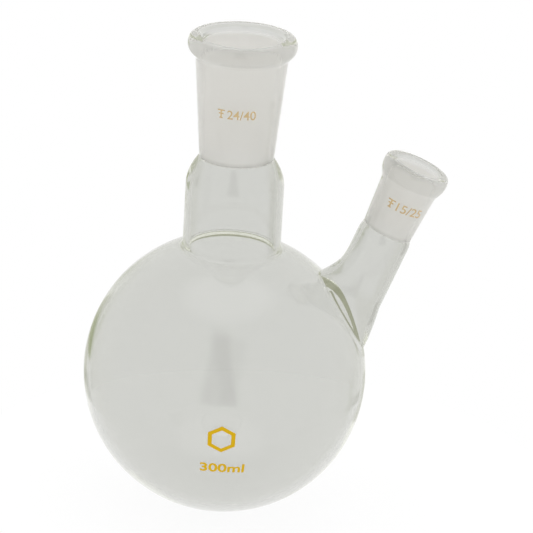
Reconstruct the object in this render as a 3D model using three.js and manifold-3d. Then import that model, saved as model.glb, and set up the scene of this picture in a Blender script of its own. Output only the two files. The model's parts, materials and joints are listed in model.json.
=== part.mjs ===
// Two-neck round-bottom flask, 300 ml, with a 24/40 centre socket and a 15/25 side socket.
// Millimetres, +Z up. The origin is the lowest point of the bulb, the centre neck stands on +Z and the
// side neck leans towards +X.
//
// Each piece of glass is a solid of its own, and so is each print. Where two meet there is a small gap.

import * as THREE from 'three';
import { mergeVertices } from 'three/addons/utils/BufferGeometryUtils.js';
import Module from 'manifold-3d';

const wasm = await Module();
wasm.setup();

const GAP = 0.3;

// Bulb
const BULB_RADIUS = 44;
const BULB_INNER_RADIUS = 42.2;
const BULB_CENTRE_Z = BULB_RADIUS;
const BULB_SEGMENTS = 48;
const BULB_ARC_STEPS = 12;

// Centre neck: its foot meets the bulb on a cylinder round the centre axis.
const NECK_FOOT_RADIUS = 16.4;
const NECK_RADIUS = 15.2;
const NECK_INNER_RADIUS = 13.4;
const NECK_SHOULDER_Z = 105.2;
const NECK_SEGMENTS = 36;

// A low ridge inside the neck, where it was fused to the bulb.
const RIDGE_RISE = 2.6;
const RIDGE_RADIUS = 12.8;

// Ground sockets. Each is a cone outside, up to the cone's end under the rolled rim. The crown is the flat
// ring on top, and the lip is how far the mouth is rounded. Heights run along the socket's own axis.
const BORE_SLOPE = 1 / 20;
const CENTRE_SOCKET = {
  base: 114.5,
  coneEnd: 145.8,
  rimHollow: 147.4,
  rimWidest: 150.3,
  top: 153.2,
  lip: 1.6,
  baseRadius: 11.5,
  coneEndRadius: 14.2,
  rimHollowRadius: 15.2,
  rimRadius: 16.8,
  crownOuterRadius: 14.9,
  crownInnerRadius: 13.4,
  mouthRadius: 12,
};
const SIDE_SOCKET = {
  base: 62.7,
  coneEnd: 76.6,
  rimHollow: 79.8,
  rimWidest: 83.3,
  top: 85.7,
  lip: 1,
  baseRadius: 7.9,
  coneEndRadius: 8.85,
  rimHollowRadius: 9.7,
  rimRadius: 10.6,
  crownOuterRadius: 9.2,
  crownInnerRadius: 8.3,
  mouthRadius: 7.5,
};

// Side arm: its axis leans from +Z to +X and passes the bulb's centre at this distance. Lengths along the
// axis are counted from the point nearest the bulb's centre.
const ARM_TILT = THREE.MathUtils.degToRad(21.3);
const ARM_OFFSET = 26.8;
const ARM_RADIUS = 8.45;
const ARM_INNER_RADIUS = 6.9;
const ARM_SEGMENTS = 32;

// The arm's foot meets the bulb on a cylinder a little off the arm's axis, towards the centre neck. Above it
// the tube swells a little, most on the side away from the centre neck.
const ARM_FOOT_RADIUS = 10.55;
const ARM_FOOT_SHIFT = 1.05;
const ARM_SWELLING = 1.1;
const ARM_SWELLING_LENGTH = 14;

// Prints, as thin curved slabs over the glass. Sizes are the width round the glass and the height along it.
const PRINT_THICKNESS = 0.2;
const CAPACITY = { latitude: -21.2, azimuth: -91.1, size: [13.8, 4.4] };
const MAKER = { latitude: -7.3, azimuth: -92, size: [9, 9] };
const CENTRE_SIZE = { height: 131.8, azimuth: -95.5, size: [12.2, 3.2] };
const SIDE_SIZE = { length: 73.3, angle: -87, size: [12.4, 3] };

// ---------------------------------------------------------------------------------------- materials

function clearGlass() {
  return new THREE.MeshStandardMaterial({ color: '#cfd0ca', roughness: 0.05, metalness: 0 });
}

function groundGlass() {
  return new THREE.MeshStandardMaterial({ color: '#cfcec9', roughness: 0.6, metalness: 0 });
}

function amberEnamel() {
  return new THREE.MeshStandardMaterial({ color: '#d8b122', roughness: 0.45, metalness: 0 });
}

function paleEnamel() {
  return new THREE.MeshStandardMaterial({ color: '#d9c6a2', roughness: 0.6, metalness: 0 });
}

// ------------------------------------------------------------------------------------------ helpers

// The geometry as one closed mesh: position only, shared vertices merged, no empty triangles.
function closed(geometry) {
  geometry.deleteAttribute('normal');
  geometry.deleteAttribute('uv');
  const merged = mergeVertices(geometry, 1e-4);
  const index = merged.index.array;
  const kept = [];
  for (let i = 0; i < index.length; i += 3) {
    const [a, b, c] = index.slice(i, i + 3);
    if (a !== b && b !== c && c !== a) {
      kept.push(a, b, c);
    }
  }
  merged.setIndex(kept);
  return merged;
}

function piece(name, geometry, material) {
  const tidy = closed(geometry);
  tidy.computeVertexNormals();
  const mesh = new THREE.Mesh(tidy, material);
  mesh.name = name;
  return mesh;
}

function toManifold(geometry) {
  const tidy = closed(geometry);
  return new wasm.Manifold(new wasm.Mesh({
    numProp: 3,
    vertProperties: new Float32Array(tidy.attributes.position.array),
    triVerts: new Uint32Array(tidy.index.array),
  }));
}

function fromManifold(solid) {
  const mesh = solid.getMesh();
  const geometry = new THREE.BufferGeometry();
  geometry.setAttribute('position', new THREE.BufferAttribute(mesh.vertProperties, 3));
  geometry.setIndex(Array.from(mesh.triVerts));
  return geometry;
}

// Turns an outline of radius and height round the Z axis.
function turned(outline, segments, arcSteps = 4) {
  const geometry = new THREE.LatheGeometry(outline.getPoints(arcSteps), segments);
  geometry.rotateX(Math.PI / 2);
  return geometry;
}

// A closed surface through rings of points, where ring i+1 follows ring i and the last meets the first.
function looped(rings) {
  const count = rings[0].length;
  const geometry = new THREE.BufferGeometry().setFromPoints(rings.flat());
  const index = [];
  for (let i = 0; i < rings.length; i += 1) {
    const here = i * count;
    const next = ((i + 1) % rings.length) * count;
    for (let j = 0; j < count; j += 1) {
      const after = (j + 1) % count;
      index.push(here + j, next + j, next + after);
      index.push(here + j, next + after, here + after);
    }
  }
  geometry.setIndex(index);
  return geometry;
}

// Height on a sphere round the bulb's centre, above that centre, at a distance from the axis.
function heightOnSphere(radius, distance) {
  return Math.sqrt(radius * radius - distance * distance);
}

// The radius of a socket's tapered bore, at a height along its axis.
function boreRadius(socket, height) {
  return socket.mouthRadius - (socket.top - height) * BORE_SLOPE;
}

// The radius of the cone outside a socket, at a height along its axis.
function coneRadius(socket, height) {
  const along = (height - socket.base) / (socket.coneEnd - socket.base);
  return socket.baseRadius + along * (socket.coneEndRadius - socket.baseRadius);
}

// ----------------------------------------------------------------------------------------- side arm

const armPlace = new THREE.Matrix4()
  .makeRotationY(ARM_TILT)
  .setPosition(
    ARM_OFFSET * Math.cos(ARM_TILT),
    0,
    BULB_CENTRE_Z - ARM_OFFSET * Math.sin(ARM_TILT),
  );

// A point of the arm: distance from its axis, angle round it, and length. Angle 0 faces away from the
// centre neck.
function armPoint(radius, angle, length) {
  const point = new THREE.Vector3(radius * Math.cos(angle), radius * Math.sin(angle), length);
  return point.applyMatrix4(armPlace);
}

// How far the foot's edge is from the arm's axis, at an angle round it.
function armFootRadius(angle) {
  const along = -ARM_FOOT_SHIFT * Math.cos(angle);
  const across = ARM_FOOT_SHIFT * Math.sin(angle);
  return along + Math.sqrt(ARM_FOOT_RADIUS ** 2 - across ** 2);
}

// Where a line along the arm leaves a sphere round the bulb's centre.
function armOnSphere(sphereRadius, radius, angle) {
  const across = radius * Math.sin(angle);
  return heightOnSphere(sphereRadius, Math.hypot(ARM_OFFSET + radius * Math.cos(angle), across));
}

// ------------------------------------------------------------------------------------------- pieces

function makeBulb() {
  const hole = NECK_FOOT_RADIUS + GAP;
  const outline = new THREE.Path();
  const outerEdge = Math.acos(hole / BULB_RADIUS);
  const innerEdge = Math.acos(hole / BULB_INNER_RADIUS);
  outline.absarc(0, BULB_CENTRE_Z, BULB_RADIUS, -Math.PI / 2, outerEdge, false);
  outline.absarc(0, BULB_CENTRE_Z, BULB_INNER_RADIUS, innerEdge, -Math.PI / 2, true);
  const shell = toManifold(turned(outline, BULB_SEGMENTS, BULB_ARC_STEPS));

  const drill = new THREE.CylinderGeometry(
    ARM_FOOT_RADIUS + GAP,
    ARM_FOOT_RADIUS + GAP,
    BULB_RADIUS,
    ARM_SEGMENTS,
  );
  drill.rotateX(Math.PI / 2);
  drill.translate(-ARM_FOOT_SHIFT, 0, BULB_RADIUS / 2);
  drill.applyMatrix4(armPlace);
  return piece('bulb', fromManifold(shell.subtract(toManifold(drill))), clearGlass());
}

function makeCentreNeck() {
  const footOuterZ = BULB_CENTRE_Z + heightOnSphere(BULB_RADIUS, NECK_FOOT_RADIUS);
  const footInnerZ = BULB_CENTRE_Z + heightOnSphere(BULB_INNER_RADIUS, NECK_FOOT_RADIUS);
  const top = CENTRE_SOCKET.base - GAP;
  const ridgeZ = footInnerZ + RIDGE_RISE;
  const outline = new THREE.Path();
  outline.moveTo(NECK_FOOT_RADIUS, footInnerZ);
  outline.lineTo(NECK_FOOT_RADIUS, footOuterZ);
  outline.quadraticCurveTo(NECK_RADIUS, footOuterZ + 0.4, NECK_RADIUS, footOuterZ + 1.7);
  outline.lineTo(NECK_RADIUS, NECK_SHOULDER_Z);
  outline.quadraticCurveTo(NECK_RADIUS, NECK_SHOULDER_Z + 4.7, CENTRE_SOCKET.baseRadius, top);
  outline.lineTo(boreRadius(CENTRE_SOCKET, top), top);
  outline.quadraticCurveTo(NECK_INNER_RADIUS, top - 3.8, NECK_INNER_RADIUS, NECK_SHOULDER_Z - 1);
  outline.lineTo(NECK_INNER_RADIUS, ridgeZ + 2.6);
  outline.quadraticCurveTo(NECK_INNER_RADIUS, ridgeZ + 1, RIDGE_RADIUS, ridgeZ);
  outline.quadraticCurveTo(RIDGE_RADIUS - 0.5, footInnerZ + 0.9, NECK_FOOT_RADIUS, footInnerZ);
  return piece('centre_neck', turned(outline, NECK_SEGMENTS), clearGlass());
}

function makeSocket(name, socket, segments) {
  const coneToHollow = (socket.coneEnd + socket.rimHollow) / 2;
  const hollowToWidest = (socket.rimHollow + socket.rimWidest) / 2;
  const lipEnd = socket.top - socket.lip;
  const outline = new THREE.Path();
  outline.moveTo(socket.baseRadius, socket.base);
  outline.lineTo(socket.coneEndRadius, socket.coneEnd);
  outline.quadraticCurveTo(socket.coneEndRadius, coneToHollow, socket.rimHollowRadius, socket.rimHollow);
  outline.quadraticCurveTo(socket.rimRadius, hollowToWidest, socket.rimRadius, socket.rimWidest);
  outline.quadraticCurveTo(socket.rimRadius, socket.top, socket.crownOuterRadius, socket.top);
  outline.lineTo(socket.crownInnerRadius, socket.top);
  outline.quadraticCurveTo(socket.mouthRadius, socket.top, boreRadius(socket, lipEnd), lipEnd);
  outline.lineTo(boreRadius(socket, socket.base), socket.base);
  outline.lineTo(socket.baseRadius, socket.base);
  return piece(name, turned(outline, segments), groundGlass());
}

function makeCentreJoint() {
  return makeSocket('centre_joint', CENTRE_SOCKET, NECK_SEGMENTS);
}

// The side neck's outline at one angle round its axis, as distance from the axis and length along it.
function sideNeckOutline(angle) {
  const foot = armFootRadius(angle);
  const footOuter = armOnSphere(BULB_RADIUS, foot, angle);
  const footInner = armOnSphere(BULB_INNER_RADIUS, foot, angle);
  const swelling = ARM_RADIUS + ARM_SWELLING * (1 + Math.cos(angle)) / 2;
  const swellingEnd = footOuter + ARM_SWELLING_LENGTH;
  const swellingMiddle = footOuter + ARM_SWELLING_LENGTH / 2;
  const top = SIDE_SOCKET.base - GAP;
  const outline = new THREE.Path();
  outline.moveTo(foot, footInner);
  outline.lineTo(foot, footOuter);
  outline.bezierCurveTo(swelling, footOuter + 3.2, swelling, swellingMiddle, ARM_RADIUS, swellingEnd);
  outline.lineTo(ARM_RADIUS, top - 2.2);
  outline.quadraticCurveTo(ARM_RADIUS, top - 1, SIDE_SOCKET.baseRadius, top);
  outline.lineTo(boreRadius(SIDE_SOCKET, top), top);
  outline.lineTo(ARM_INNER_RADIUS, top - 2.4);
  outline.lineTo(ARM_INNER_RADIUS, footInner + 9);
  outline.quadraticCurveTo(ARM_INNER_RADIUS, footInner + 2.6, foot, footInner);
  return outline;
}

function makeSideNeck() {
  const rings = [];
  for (let i = 0; i < ARM_SEGMENTS; i += 1) {
    const angle = (i / ARM_SEGMENTS) * 2 * Math.PI;
    const ring = sideNeckOutline(angle).getPoints(4).slice(0, -1);
    rings.push(ring.map((point) => armPoint(point.x, angle, point.y)));
  }
  return piece('side_neck', looped(rings), clearGlass());
}

function makeSideJoint() {
  const joint = makeSocket('side_joint', SIDE_SOCKET, ARM_SEGMENTS);
  joint.applyMatrix4(armPlace);
  return joint;
}

// ------------------------------------------------------------------------------------------- prints

// A thin closed slab over a surface. place(across, along, lift) gives a point, with the first two in mm from
// the middle of the print and the last in mm off the glass.
function makePrint(name, [width, height], place, material, columns = 10, rows = 3) {
  const low = GAP;
  const high = GAP + PRINT_THICKNESS;
  const sections = [];
  for (let i = 0; i <= columns; i += 1) {
    const across = (i / columns - 0.5) * width;
    const under = [];
    const over = [];
    for (let j = 0; j <= rows; j += 1) {
      const along = (j / rows - 0.5) * height;
      under.push(place(across, along, low));
      over.unshift(place(across, along, high));
    }
    sections.push([...under, ...over]);
  }
  return piece(name, capped(sections), material);
}

// A closed surface through equal loops of points, with a flat cap on the first and on the last.
function capped(sections) {
  const count = sections[0].length;
  const geometry = new THREE.BufferGeometry().setFromPoints(sections.flat());
  const index = [];
  for (let i = 0; i < sections.length - 1; i += 1) {
    for (let j = 0; j < count; j += 1) {
      const after = (j + 1) % count;
      const here = i * count;
      const next = here + count;
      index.push(here + j, here + after, next + after);
      index.push(here + j, next + after, next + j);
    }
  }
  const last = (sections.length - 1) * count;
  for (let j = 0; j < count / 2 - 1; j += 1) {
    const a = j;
    const b = j + 1;
    const c = count - 2 - j;
    const d = count - 1 - j;
    index.push(a, d, c, a, c, b);
    index.push(last + a, last + c, last + d, last + a, last + b, last + c);
  }
  geometry.setIndex(index);
  return geometry;
}

function onBulb({ latitude, azimuth }) {
  const middleTilt = THREE.MathUtils.degToRad(latitude);
  const middleTurn = THREE.MathUtils.degToRad(azimuth);
  return (across, along, lift) => {
    const tilt = middleTilt + along / BULB_RADIUS;
    const turn = middleTurn + across / (BULB_RADIUS * Math.cos(middleTilt));
    const reach = BULB_RADIUS + lift;
    return new THREE.Vector3(
      reach * Math.cos(tilt) * Math.cos(turn),
      reach * Math.cos(tilt) * Math.sin(turn),
      BULB_CENTRE_Z + reach * Math.sin(tilt),
    );
  };
}

function onCentreJoint(across, along, lift) {
  const height = CENTRE_SIZE.height + along;
  const radius = coneRadius(CENTRE_SOCKET, height);
  const turn = THREE.MathUtils.degToRad(CENTRE_SIZE.azimuth) + across / radius;
  return new THREE.Vector3((radius + lift) * Math.cos(turn), (radius + lift) * Math.sin(turn), height);
}

function onSideJoint(across, along, lift) {
  const length = SIDE_SIZE.length + along;
  const radius = coneRadius(SIDE_SOCKET, length);
  const angle = THREE.MathUtils.degToRad(SIDE_SIZE.angle) + across / radius;
  return armPoint(radius + lift, angle, length);
}

// ----------------------------------------------------------------------------------------- assembly

const flask = new THREE.Group();
flask.name = 'two_neck_flask';
flask.add(
  makeBulb(),
  makeCentreNeck(),
  makeCentreJoint(),
  makeSideNeck(),
  makeSideJoint(),
  makePrint('capacity_mark', CAPACITY.size, onBulb(CAPACITY), amberEnamel()),
  makePrint('maker_mark', MAKER.size, onBulb(MAKER), amberEnamel(), 6, 6),
  makePrint('centre_size_mark', CENTRE_SIZE.size, onCentreJoint, paleEnamel()),
  makePrint('side_size_mark', SIDE_SIZE.size, onSideJoint, paleEnamel()),
);

export default flask;
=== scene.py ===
"""A two-neck round-bottom flask of blown glass, standing on a white table, for Blender 4.5.

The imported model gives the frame. Each of its pieces is replaced by a finer one: five pieces of glass, turned
from outlines, and four enamel prints, wrapped round the glass.
Dimensions are in millimetres up to the point where a mesh is made, and Blender's scene is in metres.
"""

import json
import math

import bmesh
import bpy
from mathutils import Matrix, Vector


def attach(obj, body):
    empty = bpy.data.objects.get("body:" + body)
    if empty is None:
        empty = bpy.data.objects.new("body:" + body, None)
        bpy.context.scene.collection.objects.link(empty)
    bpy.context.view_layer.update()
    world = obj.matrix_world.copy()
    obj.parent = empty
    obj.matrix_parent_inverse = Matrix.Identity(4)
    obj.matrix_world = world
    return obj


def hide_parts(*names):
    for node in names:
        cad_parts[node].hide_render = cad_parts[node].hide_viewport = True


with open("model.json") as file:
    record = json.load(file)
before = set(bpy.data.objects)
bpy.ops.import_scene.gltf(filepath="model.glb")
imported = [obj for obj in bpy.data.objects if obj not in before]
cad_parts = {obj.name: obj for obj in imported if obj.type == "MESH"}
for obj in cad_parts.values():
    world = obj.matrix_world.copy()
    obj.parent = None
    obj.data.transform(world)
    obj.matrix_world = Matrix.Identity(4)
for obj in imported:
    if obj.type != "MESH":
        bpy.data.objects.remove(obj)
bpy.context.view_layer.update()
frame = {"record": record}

MM = 0.001

# Between two pieces of glass that are fused in the flame.
SEAL_GAP = 0.02

# Bulb
BULB_RADIUS = 44
BULB_INNER_RADIUS = 42.2

# Centre neck: its foot meets the bulb on a cylinder round the centre axis. Each corner is the point that a
# curve bends towards: over the bulb at the foot, over NECK_SHOULDER_Z outside, and under the socket inside.
NECK_FOOT_RADIUS = 16.4
NECK_FOOT_CORNER = 0.4
NECK_FOOT_HEIGHT = 1.7
NECK_RADIUS = 15.2
NECK_INNER_RADIUS = 13.4
NECK_SHOULDER_Z = 105.2
NECK_SHOULDER_CORNER = 4.7
NECK_INNER_CORNER = 3.8
NECK_INNER_SHOULDER_Z = 104.2

# How far the neck's inside is rounded where it opens into the bulb.
FILLET = 1.2

# Ground sockets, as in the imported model. Depths are counted down from the top, along the socket's axis.
BORE_SLOPE = 1 / 20
CENTRE_SOCKET = {
    "base": 38.7,
    "cone_end": 7.4,
    "rim_hollow": 5.8,
    "rim_widest": 2.9,
    "lip": 1.6,
    "base_radius": 11.5,
    "cone_end_radius": 14.2,
    "rim_hollow_radius": 15.2,
    "rim_radius": 16.8,
    "crown_outer_radius": 14.9,
    "crown_inner_radius": 13.4,
    "mouth_radius": 12,
}
SIDE_SOCKET = {
    "base": 23,
    "cone_end": 9.1,
    "rim_hollow": 5.9,
    "rim_widest": 2.4,
    "lip": 1,
    "base_radius": 7.9,
    "cone_end_radius": 8.85,
    "rim_hollow_radius": 9.7,
    "rim_radius": 10.6,
    "crown_outer_radius": 9.2,
    "crown_inner_radius": 8.3,
    "mouth_radius": 7.5,
}

# Side arm. The mount on its rim gives the axis, and sits this far from it.
SIDE_MOUNT_RADIUS = 8.85
ARM_RADIUS = 8.45
ARM_INNER_RADIUS = 6.9

# The arm's foot is a circle that is shifted towards the centre neck. There the flare is tallest, and on the
# far side the arm swells most.
ARM_FOOT_RADIUS = 11.3
ARM_FOOT_SHIFT = 1.8
FLARE_HEIGHT = 3.2
NEAR_FLARE_HEIGHT = 6.4
INNER_FLARE_DROP = 5
ARM_SWELLING = 1.1
ARM_SWELLING_LENGTH = 14

# The turn from the arm to its socket, outside and inside: how far it starts under the socket's base, and how
# far under it the corner is that the outside bends towards.
ARM_SHOULDER = 3.4
ARM_SHOULDER_CORNER = 1.4
ARM_INNER_SHOULDER = 2.4

# The tool that cuts the arm's hole in the bulb runs between these lengths along the arm.
ARM_DRILL = (10, 60)

# How finely the glass is divided: round each axis, along straight and curved stretches, and on the bulb.
SEGMENTS = 144
STRAIGHT_STEP = 1.6
BEND_STEPS = 10
ARM_STRAIGHT_STEPS = 8
BULB_STEP = math.radians(1.6)

# Prints: where each is on the glass, its width and height, and how it stands off the surface. No edge of a
# print's mesh is longer than PRINT_EDGE.
PRINT_LIFT = 0.03
PRINT_THICKNESS = 0.04
PRINT_EDGE = 1.35
CAPACITY = {"latitude": -21.2, "azimuth": -91.1, "size": (13.6, 3.5)}
MAKER = {"latitude": -7.3, "azimuth": -92, "size": (8.4, 9)}
CENTRE_SIZE = {"height": 131.8, "azimuth": -95.5, "size": (12.0, 2.9)}
SIDE_SIZE = {"height": 73.3, "azimuth": -87, "size": (12.2, 2.8)}
LETTER_BOLDNESS = 0.006
CAPACITY_BOLDNESS = 0.025
RING_WIDTH = 0.3

# Right half of the taper mark, in letter heights: three bars on a stem, from the top down. Then its place.
TAPER_MARK = [(0.3, 0.7), (0.3, 0.6), (0.06, 0.6), (0.06, 0.44), (0.2, 0.44), (0.2, 0.34), (0.06, 0.34)]
TAPER_MARK += [(0.06, 0.1), (0.13, 0.1), (0.13, 0)]
TAPER_MARK_DISTANCE = 0.5

# Enamel: each print's lighter and darker colour.
AMBER = ((0.74, 0.47, 0.004), (0.66, 0.4, 0.003))
PALE = ((0.7, 0.54, 0.3), (0.6, 0.44, 0.22))

# Painted shade: light that passes the clear glass's outer skin is tinted grey, standing in for grey
# surroundings seen through the glass. Each surface has this share of the painted shade.
PAINTED_SHADE_SHARE = {"outer": 1, "rim": 0.6, "cone": 0.2, "inner": 0, "ground": 0}
OUTER_PAINTED_SHADE = (0.595, 0.598, 0.58)
INNER_PAINTED_SHADE = (0.97, 0.97, 0.97)
GLASS_IOR = 1.473

# The frost in the bores is painted grey as shade. It tints light from the bore's side, and less so light from
# inside the glass, in place of the darker surroundings that frost scatters in. It lets this share through
# without scattering it, and its painted glow stands for the light that is scattered along the wall.
BORE_PAINTED_SHADE = (0.73, 0.72, 0.695)
FROST_PAINTED_SHADE = (0.92, 0.91, 0.885)
GROUND_OPENNESS = 0.4
PAINTED_FROST_GLOW = (0.1, 0.098, 0.092)

# Painted glow: every face of the clear glass glows faintly olive, so light that is caught in a wall ends in
# this colour.
PAINTED_WALL_GLOW = (0.0115, 0.012, 0.008)

# The studio: a white disc to stand on, a little under the bulb, and what the glass mirrors.
FLOOR_RADIUS = 95
FLOOR_CENTRE = (13, 20)
FLOOR_TOP = -0.2
FLOOR_THICKNESS = 10
FLOOR_SIDES = 96
FLOOR_GLOW = 0.94
OVERHEAD = (1.5, 1.5, 1.5)
BACK_WALL = (0.93, 0.93, 0.91)
LEFT_WALL = (0.46, 0.5, 0.33)
RIGHT_WALL = (0.7, 0.7, 0.67)
LEFT_FLOOR = (0.66, 0.67, 0.63)
STAND = (0.12, 0.12, 0.12)

# Where they are, by the direction they are seen in. A fade is where it starts and where it is full. A patch
# has a low end, a high end and a soft edge across (x) and in height (z).
OVERHEAD_Z = (0.8, 0.94)
BEHIND_Y = (0.1, 0.4)
SWEEP = {"x": (-0.06, 0.14, 0.12), "z": (-0.48, -0.22, 0.12)}
RIGHT_PATCH = {"x": (0.54, 0.72, 0.05), "z": (-0.52, -0.36, 0.015)}
LEFT_FLOOR_PATCH = {"x": (-0.42, -0.22, 0.06), "z": (-0.62, -0.37, 0.03)}

# The left wall: its top slopes, and it is mostly clear of what the side arm refracts.
LEFT_WALL_X = (-0.5, -0.2, 0.08)
LEFT_WALL_FOOT = (-0.31, -0.275)
LEFT_WALL_SLOPE = 0.8
LEFT_WALL_TOP = (0.2, 0.15)
ARM_VIEW_SLOPE = 0.39
ARM_VIEW = (-0.3, -0.37)
ARM_VIEW_SHARE = 0.3

# The camera stand, in front of the glass and wider towards its foot.
STAND_MIDDLE = -0.105
STAND_TAPER = 0.15
STAND_EDGE = (0.3, 0.16)
STAND_FOOT = (-0.18, -0.06)
STAND_TOP = (0.88, 0.7)
STAND_Y = (-0.2, -0.5)

# Camera: seen from the side the prints are on, a little from above.
CAMERA_DISTANCE = 1400
CAMERA_ELEVATION = math.radians(21.16)
CAMERA_AZIMUTH = math.radians(-92.3)
CAMERA_ROLL = math.radians(-3.188)
CAMERA_AIM = (13.08, 32.48)
LENS = 302.97
SENSOR = 36


# ------------------------------------------------------------------------------------------ frame


def mount(name):
    """Place in millimetres and axis of one of the record's mounts."""
    found = next(m for m in frame["record"]["mounts"] if m["name"] == name)
    return Vector(found["pos_m"]) / MM, Vector(found["axis"])


BULB_CENTRE = mount("seat")[0] + Vector((0, 0, BULB_RADIUS))
CENTRE_TOP = mount("centre_rim")[0].z

SIDE_MOUNT, ARM_AXIS = mount("side_rim")
ARM_ACROSS = Vector((ARM_AXIS.z, 0, -ARM_AXIS.x))
ARM_TOP_CENTRE = SIDE_MOUNT - SIDE_MOUNT_RADIUS * ARM_ACROSS
ARM_OFFSET = (ARM_TOP_CENTRE - BULB_CENTRE).dot(ARM_ACROSS)
ARM_TOP = (ARM_TOP_CENTRE - BULB_CENTRE).dot(ARM_AXIS)
ARM_ORIGIN = ARM_TOP_CENTRE - ARM_TOP * ARM_AXIS


def on_centre(radius, angle, height):
    """A point round the centre axis."""
    return Vector((radius * math.cos(angle), radius * math.sin(angle), height))


def on_arm(radius, angle, length):
    """A point round the side arm's axis. Angle 0 faces away from the centre neck."""
    across = radius * math.cos(angle) * ARM_ACROSS
    sideways = radius * math.sin(angle) * Vector((0, 1, 0))
    return ARM_ORIGIN + across + sideways + length * ARM_AXIS


def height_on_sphere(radius, distance):
    """How high a sphere is over its centre, at a distance from its upright axis."""
    return math.sqrt(radius * radius - distance * distance)


def arm_foot_radius(angle):
    """How far the foot's edge is from the arm's axis."""
    along = -ARM_FOOT_SHIFT * math.cos(angle)
    across = ARM_FOOT_SHIFT * math.sin(angle)
    return along + math.sqrt(ARM_FOOT_RADIUS**2 - across**2)


def arm_on_sphere(sphere_radius, radius, angle):
    """Where a line along the arm leaves a sphere round the bulb's centre."""
    across = math.hypot(ARM_OFFSET + radius * math.cos(angle), radius * math.sin(angle))
    return height_on_sphere(sphere_radius, across)


def bore_radius(socket, depth):
    """The ground bore's radius at a depth under the socket's top."""
    return socket["mouth_radius"] - depth * BORE_SLOPE


def cone_radius(socket, depth):
    """The radius of the socket's outside at a depth under its top."""
    along = (socket["base"] - depth) / (socket["base"] - socket["cone_end"])
    return socket["base_radius"] + along * (socket["cone_end_radius"] - socket["base_radius"])


# --------------------------------------------------------------------------------------- outlines


class Outline:
    """A closed outline of radius and height. Each point is on a surface that PAINTED_SHADE_SHARE names."""

    def __init__(self, radius, height, surface):
        self.points = [(radius, height)]
        self.surfaces = [surface]
        self.seams = set()

    def seam(self, radius, height, surface):
        """A straight cut across the wall, where the next piece is fused on."""
        self.seams.add(len(self.points) - 1)
        self.line(radius, height, surface, steps=1)

    def line(self, radius, height, surface="outer", steps=None):
        r, h = self.points[-1]
        if steps is None:
            steps = max(1, math.ceil(math.hypot(radius - r, height - h) / STRAIGHT_STEP))
        self.curve((radius, height), surface=surface, steps=steps)

    def curve(self, *controls, surface="outer", steps=BEND_STEPS):
        """A Bezier curve from the last point through the controls but one, to the last of them."""
        chain = [self.points[-1], *controls]
        for i in range(1, steps + 1):
            level = chain
            while len(level) > 1:
                level = [mixed(a, b, i / steps) for a, b in zip(level, level[1:])]
            self.points.append(level[0])
            self.surfaces.append(surface)

    def drop_last(self):
        """Takes away the last point, where it has come back to the first."""
        self.points.pop()
        self.surfaces.pop()


def mixed(a, b, t):
    """The point that is t of the way from a to b."""
    return (a[0] + t * (b[0] - a[0]), a[1] + t * (b[1] - a[1]))


def centre_neck_outline():
    """The centre neck's outline: a small foot on the bulb, a straight wall and a rounded shoulder."""
    foot_outer = BULB_CENTRE.z + height_on_sphere(BULB_RADIUS, NECK_FOOT_RADIUS)
    foot_inner = BULB_CENTRE.z + height_on_sphere(BULB_INNER_RADIUS, NECK_FOOT_RADIUS)
    foot = (NECK_FOOT_RADIUS, foot_inner)
    top = CENTRE_TOP - CENTRE_SOCKET["base"] - SEAL_GAP
    corner = BULB_CENTRE.z + height_on_sphere(BULB_INNER_RADIUS, NECK_INNER_RADIUS)
    fillet_radius = NECK_INNER_RADIUS + FILLET
    fillet_end = BULB_CENTRE.z + height_on_sphere(BULB_INNER_RADIUS, fillet_radius)
    outline = Outline(*foot, "inner")
    outline.seam(NECK_FOOT_RADIUS, foot_outer, "outer")
    outline.curve((NECK_RADIUS, foot_outer + NECK_FOOT_CORNER), (NECK_RADIUS, foot_outer + NECK_FOOT_HEIGHT))
    outline.line(NECK_RADIUS, NECK_SHOULDER_Z)
    shoulder = (NECK_RADIUS, NECK_SHOULDER_Z + NECK_SHOULDER_CORNER)
    outline.curve(shoulder, (CENTRE_SOCKET["base_radius"], top))
    outline.seam(bore_radius(CENTRE_SOCKET, CENTRE_TOP - top), top, "inner")
    inner_shoulder = (NECK_INNER_RADIUS, top - NECK_INNER_CORNER)
    outline.curve(inner_shoulder, (NECK_INNER_RADIUS, NECK_INNER_SHOULDER_Z), surface="inner")
    outline.line(NECK_INNER_RADIUS, corner + FILLET, "inner")
    outline.curve((NECK_INNER_RADIUS, corner), (fillet_radius, fillet_end), surface="inner")
    outline.line(*foot, "inner")
    outline.drop_last()
    return outline


def socket_outline(socket, top):
    """A ground socket: a cone outside, a rolled rim, and a tapered bore that is ground."""
    base = (socket["base_radius"], top - socket["base"])
    cone_end = (socket["cone_end_radius"], top - socket["cone_end"])
    hollow = (socket["rim_hollow_radius"], top - socket["rim_hollow"])
    widest = (socket["rim_radius"], top - socket["rim_widest"])
    lip_end = (bore_radius(socket, socket["lip"]), top - socket["lip"])
    outline = Outline(*base, "outer")
    outline.line(*cone_end, "cone")
    outline.curve((cone_end[0], (cone_end[1] + hollow[1]) / 2), hollow, surface="cone")
    outline.curve((widest[0], (hollow[1] + widest[1]) / 2), widest, surface="rim")
    outline.curve((widest[0], top), (socket["crown_outer_radius"], top), surface="rim")
    outline.line(socket["crown_inner_radius"], top)
    outline.curve((socket["mouth_radius"], top), lip_end)
    outline.line(bore_radius(socket, socket["base"]), base[1], "ground")
    outline.seam(*base, "outer")
    outline.drop_last()
    return outline


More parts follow.
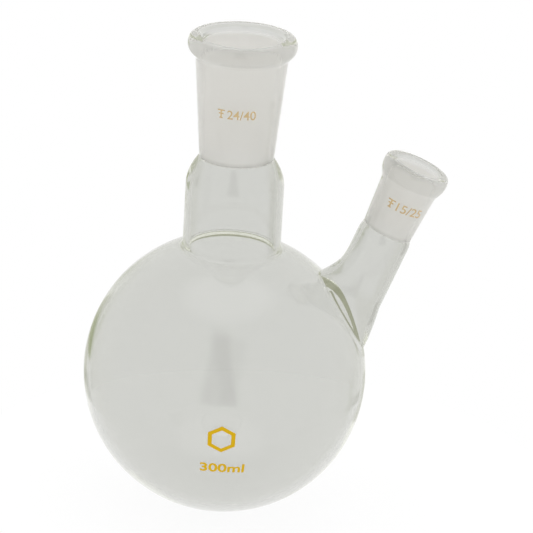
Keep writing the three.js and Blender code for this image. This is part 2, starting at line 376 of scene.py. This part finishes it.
def side_neck_outline(angle):
    """The side neck's outline at one angle round its axis."""
    foot_radius = arm_foot_radius(angle)
    foot_outer = arm_on_sphere(BULB_RADIUS, foot_radius, angle)
    foot_inner = arm_on_sphere(BULB_INNER_RADIUS, foot_radius, angle)
    foot = (foot_radius, foot_inner)
    nearness = (1 - math.cos(angle)) / 2
    swelling = ARM_RADIUS + ARM_SWELLING * (1 - nearness)
    flare_height = FLARE_HEIGHT + nearness * (NEAR_FLARE_HEIGHT - FLARE_HEIGHT)
    swelling_start = (swelling, foot_outer + flare_height)
    swelling_middle = (swelling, foot_outer + ARM_SWELLING_LENGTH / 2)
    swelling_end = (ARM_RADIUS, foot_outer + ARM_SWELLING_LENGTH)
    wall = ARM_RADIUS - ARM_INNER_RADIUS
    inner_middle = (swelling - wall, swelling_middle[1] - nearness * INNER_FLARE_DROP)
    top = ARM_TOP - SIDE_SOCKET["base"] - SEAL_GAP
    outline = Outline(*foot, "inner")
    outline.seam(foot_radius, foot_outer, "outer")
    outline.curve(swelling_start, swelling_middle, swelling_end, steps=2 * BEND_STEPS)
    outline.line(ARM_RADIUS, top - ARM_SHOULDER, steps=ARM_STRAIGHT_STEPS)
    outline.curve((ARM_RADIUS, top - ARM_SHOULDER_CORNER), (SIDE_SOCKET["base_radius"], top))
    outline.seam(bore_radius(SIDE_SOCKET, ARM_TOP - top), top, "inner")
    outline.line(ARM_INNER_RADIUS, top - ARM_INNER_SHOULDER, "inner")
    outline.line(ARM_INNER_RADIUS, swelling_end[1], "inner", steps=ARM_STRAIGHT_STEPS)
    outline.curve(inner_middle, foot, foot, surface="inner", steps=3 * BEND_STEPS)
    outline.drop_last()
    return outline


# ----------------------------------------------------------------------------------------- meshes


def make_object(name, points, faces, scale=MM):
    mesh = bpy.data.meshes.new(name)
    mesh.from_pydata([scale * Vector(point) for point in points], [], faces)
    mesh.update()
    piece = bpy.data.objects.new(name, mesh)
    bpy.context.scene.collection.objects.link(piece)
    return piece


def shade_smooth(piece, sharp_angle=math.radians(35)):
    """Smooth faces, with hard edges where the surface turns sharply."""
    mesh = piece.data
    mesh.polygons.foreach_set("use_smooth", [True] * len(mesh.polygons))
    mesh.set_sharp_from_angle(angle=sharp_angle)


def looped(name, outlines, place):
    """A closed ring of glass. Each outline is at its own angle round the axis."""
    count = len(outlines[0].points)
    turns = len(outlines)
    points = []
    for i, outline in enumerate(outlines):
        angle = 2 * math.pi * i / turns
        points.extend(place(radius, angle, height) for radius, height in outline.points)
    faces = []
    for i in range(turns):
        here = i * count
        after = (i + 1) % turns * count
        for j in range(count):
            k = (j + 1) % count
            faces.append((here + j, after + j, after + k, here + k))
    piece = make_object(name, points, faces)
    shade_smooth(piece)
    seams = [int(j in outline.seams) for outline in outlines for j in range(count)]
    piece.data.polygons.foreach_set("material_index", seams)
    surfaces = [surface for outline in outlines for surface in outline.surfaces]
    # The share of painted grey shade at each point, by its surface.
    mark(piece, "painted_shade", [float(PAINTED_SHADE_SHARE[surface]) for surface in surfaces])
    mark(piece, "ground", [float(surface == "ground") for surface in surfaces])
    return piece


def mark(piece, name, values):
    """A number for each point of the mesh, for its material to read."""
    attribute = piece.data.attributes.new(name, "FLOAT", "POINT")
    attribute.data.foreach_set("value", values)


def make_bulb():
    """Two spheres joined round the neck's hole, less the arm's foot."""
    hole = NECK_FOOT_RADIUS + SEAL_GAP
    profile = []
    for radius, upwards in ((BULB_RADIUS, True), (BULB_INNER_RADIUS, False)):
        low = -math.pi / 2
        high = math.acos(hole / radius)
        steps = math.ceil((high - low) / BULB_STEP)
        arc = [low + (high - low) * i / steps for i in range(1, steps + 1)]
        ring = [(radius * math.cos(a), BULB_CENTRE.z + radius * math.sin(a)) for a in arc]
        profile.extend(ring if upwards else reversed(ring))
    count = len(profile)
    points = [on_centre(r, 2 * math.pi * i / SEGMENTS, h) for i in range(SEGMENTS) for r, h in profile]
    outer_pole = len(points)
    inner_pole = outer_pole + 1
    points.append(BULB_CENTRE - Vector((0, 0, BULB_RADIUS)))
    points.append(BULB_CENTRE - Vector((0, 0, BULB_INNER_RADIUS)))
    faces = []
    for i in range(SEGMENTS):
        here = i * count
        after = (i + 1) % SEGMENTS * count
        faces.append((outer_pole, after, here))
        faces.append((inner_pole, here + count - 1, after + count - 1))
        for j in range(count - 1):
            faces.append((here + j, after + j, after + j + 1, here + j + 1))
    bulb = make_object("glass_bulb", points, faces)
    drill_arm_hole(bulb)
    point_normals_from_centre(bulb)
    return bulb


def drill_arm_hole(bulb):
    """Cuts the hole for the arm's foot through the bulb's wall."""
    angles = [2 * math.pi * i / SEGMENTS for i in range(SEGMENTS)]
    radius = ARM_FOOT_RADIUS + SEAL_GAP
    shift = -ARM_FOOT_SHIFT * ARM_ACROSS
    points = [on_arm(radius, angle, length) + shift for length in ARM_DRILL for angle in angles]
    faces = [tuple(reversed(range(SEGMENTS))), tuple(range(SEGMENTS, 2 * SEGMENTS))]
    for i in range(SEGMENTS):
        k = (i + 1) % SEGMENTS
        faces.append((i, k, SEGMENTS + k, SEGMENTS + i))
    drill = make_object("drill", points, faces)
    cut = bulb.modifiers.new("arm_hole", "BOOLEAN")
    cut.operation = "DIFFERENCE"
    cut.solver = "EXACT"
    cut.object = drill
    apply_modifiers(bulb)
    bpy.data.objects.remove(drill)


def apply_modifiers(piece):
    """Turns what the piece's modifiers make into its own mesh."""
    evaluated = piece.evaluated_get(bpy.context.evaluated_depsgraph_get())
    mesh = bpy.data.meshes.new_from_object(evaluated)
    piece.modifiers.clear()
    old = piece.data
    piece.data = mesh
    bpy.data.meshes.remove(old)


def point_normals_from_centre(bulb):
    """True sphere normals on the bulb's two walls. The faces of its holes stay flat."""
    mesh = bulb.data
    centre = BULB_CENTRE * MM
    outer = BULB_RADIUS * MM
    inner = BULB_INNER_RADIUS * MM
    tolerance = 0.05 * MM
    mesh.polygons.foreach_set("use_smooth", [True] * len(mesh.polygons))
    normals = [None] * len(mesh.loops)
    for face in mesh.polygons:
        reaches = [(mesh.vertices[v].co - centre).length for v in face.vertices]
        on_outer = all(abs(reach - outer) < tolerance for reach in reaches)
        on_inner = all(abs(reach - inner) < tolerance for reach in reaches)
        for index in face.loop_indices:
            away = (mesh.vertices[mesh.loops[index].vertex_index].co - centre).normalized()
            if on_outer:
                normals[index] = away
            elif on_inner:
                normals[index] = -away
            else:
                normals[index] = face.normal.copy()
            if not on_outer and not on_inner:
                face.material_index = 1
    mesh.normals_split_custom_set(normals)
    # The bulb's outer wall takes the full painted shade, its inner wall none.
    reaches = [(vertex.co - centre).length for vertex in mesh.vertices]
    mark(bulb, "painted_shade", [float(reach > outer - tolerance) for reach in reaches])


def make_centre_neck():
    return looped("glass_centre_neck", [centre_neck_outline()] * SEGMENTS, on_centre)


def make_centre_joint():
    outline = socket_outline(CENTRE_SOCKET, CENTRE_TOP)
    return looped("glass_centre_joint", [outline] * SEGMENTS, on_centre)


def make_side_neck():
    outlines = [side_neck_outline(2 * math.pi * i / SEGMENTS) for i in range(SEGMENTS)]
    return looped("glass_side_neck", outlines, on_arm)


def make_side_joint():
    outline = socket_outline(SIDE_SOCKET, ARM_TOP)
    return looped("glass_side_joint", [outline] * SEGMENTS, on_arm)


# ----------------------------------------------------------------------------------------- prints


def lettering(text, boldness):
    """Flat letters as a slab one unit thick, in a new bmesh."""
    curve = bpy.data.curves.new("lettering", "FONT")
    curve.body = text
    curve.offset = boldness
    curve.extrude = 0.5
    holder = bpy.data.objects.new("lettering", curve)
    bpy.context.scene.collection.objects.link(holder)
    evaluated = holder.evaluated_get(bpy.context.evaluated_depsgraph_get())
    mesh = bpy.data.meshes.new_from_object(evaluated)
    slab = bmesh.new()
    slab.from_mesh(mesh)
    bmesh.ops.remove_doubles(slab, verts=slab.verts, dist=1e-5)
    bpy.data.objects.remove(holder)
    bpy.data.curves.remove(curve)
    bpy.data.meshes.remove(mesh)
    return slab


def joint_size(text):
    """A joint's size after a small taper mark, in a new bmesh."""
    slab = lettering(text, LETTER_BOLDNESS)
    middle = min(v.co.x for v in slab.verts) - TAPER_MARK_DISTANCE
    corners = [(middle - x, y) for x, y in TAPER_MARK]
    corners += [(middle + x, y) for x, y in reversed(TAPER_MARK)]
    low, high = ([slab.verts.new((x, y, z)) for x, y in corners] for z in (-0.5, 0.5))
    slab.faces.new(high)
    slab.faces.new(reversed(low))
    for i in range(len(corners)):
        k = (i + 1) % len(corners)
        slab.faces.new((low[i], low[k], high[k], high[i]))
    slab.normal_update()
    return slab


def hexagon_ring(width):
    """A plain hexagon ring of outside radius 1, as a slab one unit thick, in a new bmesh."""
    slab = bmesh.new()
    rings = []
    for radius in (1, 1 - width):
        for height in (-0.5, 0.5):
            corners = [math.radians(60 * i + 30) for i in range(6)]
            ring = [slab.verts.new((radius * math.cos(a), radius * math.sin(a), height)) for a in corners]
            rings.append(ring)
    low_out, high_out, low_in, high_in = rings
    for i in range(6):
        k = (i + 1) % 6
        slab.faces.new((low_out[i], low_out[k], high_out[k], high_out[i]))
        slab.faces.new((low_in[k], low_in[i], high_in[i], high_in[k]))
        slab.faces.new((high_out[i], high_out[k], high_in[k], high_in[i]))
        slab.faces.new((low_out[k], low_out[i], low_in[i], low_in[k]))
    return slab


def wrapped(name, slab, size, place):
    """The slab scaled to a width and height in millimetres, finely divided and laid on the glass."""
    xs = [v.co.x for v in slab.verts]
    ys = [v.co.y for v in slab.verts]
    width, height = size
    middle = Vector(((min(xs) + max(xs)) / 2, (min(ys) + max(ys)) / 2, 0))
    across = width / (max(xs) - min(xs))
    along = height / (max(ys) - min(ys))
    for vert in slab.verts:
        vert.co -= middle
        vert.co.x *= across
        vert.co.y *= along
    bmesh.ops.triangulate(slab, faces=slab.faces)
    while True:
        long_edges = [edge for edge in slab.edges if edge.calc_length() > PRINT_EDGE]
        if not long_edges:
            break
        bmesh.ops.subdivide_edges(slab, edges=long_edges, cuts=1)
        bmesh.ops.triangulate(slab, faces=slab.faces)
    for vert in slab.verts:
        lift = PRINT_LIFT + PRINT_THICKNESS * (vert.co.z + 0.5)
        vert.co = MM * place(vert.co.x, vert.co.y, lift)
    bmesh.ops.recalc_face_normals(slab, faces=slab.faces)
    mesh = bpy.data.meshes.new(name)
    slab.to_mesh(mesh)
    slab.free()
    piece = bpy.data.objects.new(name, mesh)
    bpy.context.scene.collection.objects.link(piece)
    return piece


def on_bulb(print_):
    """Lays a print on the bulb: a function of across, along and lift in millimetres."""
    middle_tilt = math.radians(print_["latitude"])
    middle_turn = math.radians(print_["azimuth"])

    def place(across, along, lift):
        tilt = middle_tilt + along / BULB_RADIUS
        turn = middle_turn + across / (BULB_RADIUS * math.cos(middle_tilt))
        reach = BULB_RADIUS + lift
        return BULB_CENTRE + on_centre(reach * math.cos(tilt), turn, reach * math.sin(tilt))

    return place


def on_cone(print_, socket, top, around):
    """Lays a print on the outside of a socket, as on_bulb does on the bulb."""
    middle_turn = math.radians(print_["azimuth"])

    def place(across, along, lift):
        height = print_["height"] + along
        radius = cone_radius(socket, top - height)
        return around(radius + lift, middle_turn + across / radius, height)

    return place


# -------------------------------------------------------------------------------------- materials


def add_node(tree, kind, **settings):
    """A new node. Settings are its properties, and its inputs by name or number."""
    node = tree.nodes.new(kind)
    for key, value in settings.items():
        if key == "inputs":
            for socket, content in value.items():
                node.inputs[socket].default_value = content
        else:
            setattr(node, key, value)
    return node


def new_material(name):
    material = bpy.data.materials.new(name)
    material.use_nodes = True
    tree = material.node_tree
    return material, tree, tree.nodes["Principled BSDF"]


def noise(tree, coordinates, scale, detail):
    """Cloudy values from 0 to 1. The scale is in clouds to a metre."""
    node = add_node(tree, "ShaderNodeTexNoise", inputs={"Scale": scale, "Detail": detail})
    tree.links.new(coordinates, node.inputs["Vector"])
    return node.outputs["Fac"]


def spread(tree, value, low, high):
    """The value, which runs from 0 to 1, moved to run from low to high."""
    node = add_node(tree, "ShaderNodeMapRange", inputs={"To Min": low, "To Max": high})
    tree.links.new(value, node.inputs["Value"])
    return node.outputs["Result"]


def fade(tree, value, start, end):
    """0 where the value is at or before start, 1 at or after end, and smooth between."""
    node = add_node(tree, "ShaderNodeMapRange", interpolation_type="SMOOTHSTEP")
    low, high = sorted((start, end))
    node.inputs["From Min"].default_value = low
    node.inputs["From Max"].default_value = high
    node.inputs["To Min"].default_value = float(start > end)
    node.inputs["To Max"].default_value = float(start < end)
    tree.links.new(value, node.inputs["Value"])
    return node.outputs["Result"]


def between(tree, value, low, high, soft):
    """1 where the value is from low to high, fading to 0 over a soft edge outside them."""
    return times(tree, fade(tree, value, low - soft, low), fade(tree, value, high + soft, high))


def calculated(tree, operation, *values):
    """A Math node on values that are each a node's output or a number."""
    node = add_node(tree, "ShaderNodeMath", operation=operation)
    for socket, value in zip(node.inputs, values):
        if isinstance(value, (int, float)):
            socket.default_value = value
        else:
            tree.links.new(value, socket)
    return node.outputs["Value"]


def times(tree, a, b):
    return calculated(tree, "MULTIPLY", a, b)


def plus(tree, a, b):
    return calculated(tree, "ADD", a, b)


def blended(tree, share, first, second):
    """A mix of two colours, each a node's output or red, green and blue."""
    node = add_node(tree, "ShaderNodeMix", data_type="RGBA")
    tree.links.new(share, node.inputs["Factor"])
    for socket, colour in (("A", first), ("B", second)):
        if isinstance(colour, tuple):
            node.inputs[socket].default_value = (*colour, 1)
        else:
            tree.links.new(colour, node.inputs[socket])
    return node.outputs["Result"]


def add_bump(tree, shader, layers):
    """Bumps in the surface. Each layer is a height from 0 to 1 and its size in metres."""
    normal = None
    for height, distance in layers:
        bump = add_node(tree, "ShaderNodeBump", inputs={"Distance": distance})
        tree.links.new(height, bump.inputs["Height"])
        if normal is not None:
            tree.links.new(normal, bump.inputs["Normal"])
        normal = bump.outputs["Normal"]
    tree.links.new(normal, shader.inputs["Normal"])


def attribute(tree, name):
    """A number that the mesh has at each of its points."""
    return add_node(tree, "ShaderNodeAttribute", attribute_name=name).outputs["Fac"]


def glass_body(tree, shader):
    """Borosilicate glass with a grey cast in its outer skin, a painted shade that stands in for grey
    surroundings seen through it. It glows faintly olive, a painted glow for light that is caught in the wall.
    """
    # The grey base colour is painted shade, full on the outer skin.
    painted_shade = blended(tree, attribute(tree, "painted_shade"), INNER_PAINTED_SHADE, OUTER_PAINTED_SHADE)
    tree.links.new(painted_shade, shader.inputs["Base Color"])
    shader.inputs["IOR"].default_value = GLASS_IOR
    shader.inputs["Transmission Weight"].default_value = 1
    # Painted glow on every face of the glass.
    shader.inputs["Emission Color"].default_value = (*PAINTED_WALL_GLOW, 1)
    shader.inputs["Emission Strength"].default_value = 1


def fused_seam():
    """The cut faces where two pieces of glass are one: light goes straight on through them."""
    material, tree, shader = new_material("fused_seam")
    tree.nodes.remove(shader)
    open_face = add_node(tree, "ShaderNodeBsdfTransparent")
    tree.links.new(open_face.outputs["BSDF"], tree.nodes["Material Output"].inputs["Surface"])
    return material


def clear_glass():
    """Blown glass: nearly smooth, with slow waves and a faint haze that comes and goes."""
    material, tree, shader = new_material("clear_glass")
    place = add_node(tree, "ShaderNodeTexCoord").outputs["Object"]
    glass_body(tree, shader)
    haze = spread(tree, noise(tree, place, 60, 3), 0.0, 0.05)
    tree.links.new(haze, shader.inputs["Roughness"])
    add_bump(tree, shader, [(noise(tree, place, 45, 1), 0.0003)])
    return material


def ground_glass():
    """Glass whose bore is ground to a fine, even frost, and which is clear elsewhere. The frost is painted
    grey as shade, more so where its bore side is seen than from inside the glass, and it glows as painted
    light.
    """
    material, tree, shader = new_material("ground_glass")
    place = add_node(tree, "ShaderNodeTexCoord").outputs["Object"]
    glass_body(tree, shader)
    ground = attribute(tree, "ground")
    in_glass = add_node(tree, "ShaderNodeNewGeometry").outputs["Backfacing"]
    # Painted shade on the frost: greyer where its bore side is seen than from inside the glass.
    frost_painted_shade = blended(tree, in_glass, BORE_PAINTED_SHADE, FROST_PAINTED_SHADE)
    clear = shader.inputs["Base Color"].links[0].from_socket
    tree.links.new(blended(tree, ground, clear, frost_painted_shade), shader.inputs["Base Color"])
    # Painted glow: the frost glows, and the clear glass glows faintly olive.
    tree.links.new(blended(tree, ground, PAINTED_WALL_GLOW, PAINTED_FROST_GLOW), shader.inputs["Emission Color"])
    tree.links.new(spread(tree, ground, 1.0, GROUND_OPENNESS), shader.inputs["Transmission Weight"])
    tree.links.new(spread(tree, ground, 0.02, 0.6), shader.inputs["Roughness"])
    grain = times(tree, noise(tree, place, 2500, 2), ground)
    add_bump(tree, shader, [(noise(tree, place, 60, 1), 0.0003), (grain, 0.00004)])
    return material


def enamel(name, shades, roughness):
    """Fired enamel ink: uneven in colour and gloss, with a fine grain."""
    material, tree, shader = new_material(name)
    place = add_node(tree, "ShaderNodeTexCoord").outputs["Object"]
    colour = blended(tree, noise(tree, place, 900, 3), *shades)
    tree.links.new(colour, shader.inputs["Base Color"])
    shader.inputs["Specular IOR Level"].default_value = 0.15
    gloss = spread(tree, noise(tree, place, 1400, 2), roughness - 0.1, roughness + 0.1)
    tree.links.new(gloss, shader.inputs["Roughness"])
    add_bump(tree, shader, [(noise(tree, place, 3000, 2), 0.00002)])
    return material


# ------------------------------------------------------------------------------- floor and lights


def make_floor():
    """A plain white disc."""
    sides = FLOOR_SIDES
    middle = Vector((*FLOOR_CENTRE, 0))
    angles = [2 * math.pi * i / sides for i in range(sides)]
    levels = (FLOOR_TOP - FLOOR_THICKNESS, FLOOR_TOP)
    points = [middle + on_centre(FLOOR_RADIUS, angle, level) for level in levels for angle in angles]
    faces = [tuple(reversed(range(sides))), tuple(range(sides, 2 * sides))]
    for i in range(sides):
        k = (i + 1) % sides
        faces.append((i, k, sides + k, sides + i))
    floor = make_object("floor", points, faces)
    material, tree, shader = new_material("floor_white")
    shader.inputs["Base Color"].default_value = (0.06, 0.06, 0.06, 1)
    shader.inputs["Roughness"].default_value = 0.9
    shader.inputs["Specular IOR Level"].default_value = 0.1
    shader.inputs["Emission Color"].default_value = (1, 1, 1, 1)
    shader.inputs["Emission Strength"].default_value = FLOOR_GLOW
    floor.data.materials.append(material)


def patch(tree, x, z, spans):
    """1 within a patch of the directions, fading to 0 over its soft edges."""
    return times(tree, between(tree, x, *spans["x"]), between(tree, z, *spans["z"]))


def left_wall(tree, x, z):
    """Where the left wall is: full from its foot to its sloping top, and faint where the arm shows it."""
    sloping = plus(tree, z, times(tree, x, -LEFT_WALL_SLOPE))
    height = times(tree, fade(tree, z, *LEFT_WALL_FOOT), fade(tree, sloping, *LEFT_WALL_TOP))
    along_arm = plus(tree, z, times(tree, x, ARM_VIEW_SLOPE))
    off_arm = spread(tree, fade(tree, along_arm, *ARM_VIEW), ARM_VIEW_SHARE, 1.0)
    return times(tree, times(tree, between(tree, x, *LEFT_WALL_X), height), off_arm)


def camera_stand(tree, x, y, z):
    """Where the camera stand is."""
    away = calculated(tree, "ABSOLUTE", plus(tree, x, -STAND_MIDDLE))
    width = fade(tree, plus(tree, away, times(tree, z, STAND_TAPER)), *STAND_EDGE)
    height = times(tree, fade(tree, z, *STAND_FOOT), fade(tree, z, *STAND_TOP))
    return times(tree, width, times(tree, fade(tree, y, *STAND_Y), height))


def make_world():
    """A white studio, brighter overhead, with walls behind the glass and a dark camera stand before it."""
    world = bpy.data.worlds.new("studio")
    bpy.context.scene.world = world
    world.use_nodes = True
    tree = world.node_tree
    direction = add_node(tree, "ShaderNodeTexCoord").outputs["Generated"]
    parts = add_node(tree, "ShaderNodeSeparateXYZ")
    tree.links.new(direction, parts.inputs[0])
    x, y, z = parts.outputs
    behind = fade(tree, y, *BEHIND_Y)
    off_sweep = calculated(tree, "SUBTRACT", 1.0, patch(tree, x, z, SWEEP))
    colour = blended(tree, fade(tree, z, *OVERHEAD_Z), (1, 1, 1), OVERHEAD)
    walls = [
        (off_sweep, BACK_WALL),
        (left_wall(tree, x, z), LEFT_WALL),
        (patch(tree, x, z, RIGHT_PATCH), RIGHT_WALL),
        (patch(tree, x, z, LEFT_FLOOR_PATCH), LEFT_FLOOR),
    ]
    for share, paint in walls:
        colour = blended(tree, times(tree, share, behind), colour, paint)
    colour = blended(tree, camera_stand(tree, x, y, z), colour, STAND)
    background = tree.nodes["Background"]
    background.inputs["Strength"].default_value = 1.0
    tree.links.new(colour, background.inputs["Color"])


def make_camera():
    """The camera, rolled a little, and aimed at a point that is level and up from the bulb's centre."""
    back = Vector((
        math.cos(CAMERA_ELEVATION) * math.cos(CAMERA_AZIMUTH),
        math.cos(CAMERA_ELEVATION) * math.sin(CAMERA_AZIMUTH),
        math.sin(CAMERA_ELEVATION),
    ))
    level_right = Vector((0, 0, 1)).cross(back).normalized()
    level_up = back.cross(level_right)
    right = level_right * math.cos(CAMERA_ROLL) - level_up * math.sin(CAMERA_ROLL)
    up = level_right * math.sin(CAMERA_ROLL) + level_up * math.cos(CAMERA_ROLL)
    eye = BULB_CENTRE + CAMERA_DISTANCE * back
    aim = BULB_CENTRE + CAMERA_AIM[0] * right + CAMERA_AIM[1] * up
    z_axis = (eye - aim).normalized()
    x_axis = up.cross(z_axis).normalized()
    y_axis = z_axis.cross(x_axis)
    data = bpy.data.cameras.new("camera")
    data.lens = LENS
    data.sensor_width = SENSOR
    camera = bpy.data.objects.new("camera", data)
    bpy.context.scene.collection.objects.link(camera)
    turn = Matrix((x_axis, y_axis, z_axis)).transposed().to_4x4()
    camera.matrix_world = Matrix.Translation(eye * MM) @ turn
    bpy.context.scene.camera = camera


# --------------------------------------------------------------------------------------- assembly


def put(piece, node, slot, *materials):
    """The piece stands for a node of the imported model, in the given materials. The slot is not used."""
    for material in materials:
        piece.data.materials.append(material)
    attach(piece, "root")
    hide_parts(node)


def build_flask():
    clear = clear_glass()
    ground = ground_glass()
    seam = fused_seam()
    amber = enamel("amber_enamel", AMBER, 0.45)
    pale = enamel("pale_enamel", PALE, 0.6)
    on_centre_cone = on_cone(CENTRE_SIZE, CENTRE_SOCKET, CENTRE_TOP, on_centre)
    on_side_cone = on_cone(SIDE_SIZE, SIDE_SOCKET, ARM_TOP, on_arm)
    put(make_bulb(), "bulb", "clear_glass", clear, seam)
    put(make_centre_neck(), "centre_neck", "clear_glass", clear, seam)
    put(make_side_neck(), "side_neck", "clear_glass", clear, seam)
    put(make_centre_joint(), "centre_joint", "ground_glass", ground, seam)
    put(make_side_joint(), "side_joint", "ground_glass", ground, seam)
    figures = lettering("300ml", CAPACITY_BOLDNESS)
    capacity = wrapped("print_capacity", figures, CAPACITY["size"], on_bulb(CAPACITY))
    put(capacity, "capacity_mark", "amber_enamel", amber)
    maker = wrapped("print_maker", hexagon_ring(RING_WIDTH), MAKER["size"], on_bulb(MAKER))
    put(maker, "maker_mark", "amber_enamel", amber)
    centre_size = wrapped("print_centre_size", joint_size("24/40"), CENTRE_SIZE["size"], on_centre_cone)
    put(centre_size, "centre_size_mark", "pale_enamel", pale)
    side_size = wrapped("print_side_size", joint_size("15/25"), SIDE_SIZE["size"], on_side_cone)
    put(side_size, "side_size_mark", "pale_enamel", pale)


def set_light_paths():
    """Enough bounces for light that is guided along a wall of glass or through both walls of a joint."""
    cycles = bpy.context.scene.cycles
    cycles.max_bounces = 32
    cycles.transmission_bounces = 32
    cycles.glossy_bounces = 32
    cycles.diffuse_bounces = 16
    cycles.transparent_max_bounces = 32


build_flask()
make_floor()
make_world()
make_camera()
set_light_paths()
bpy.context.scene.view_settings.view_transform = "Standard"
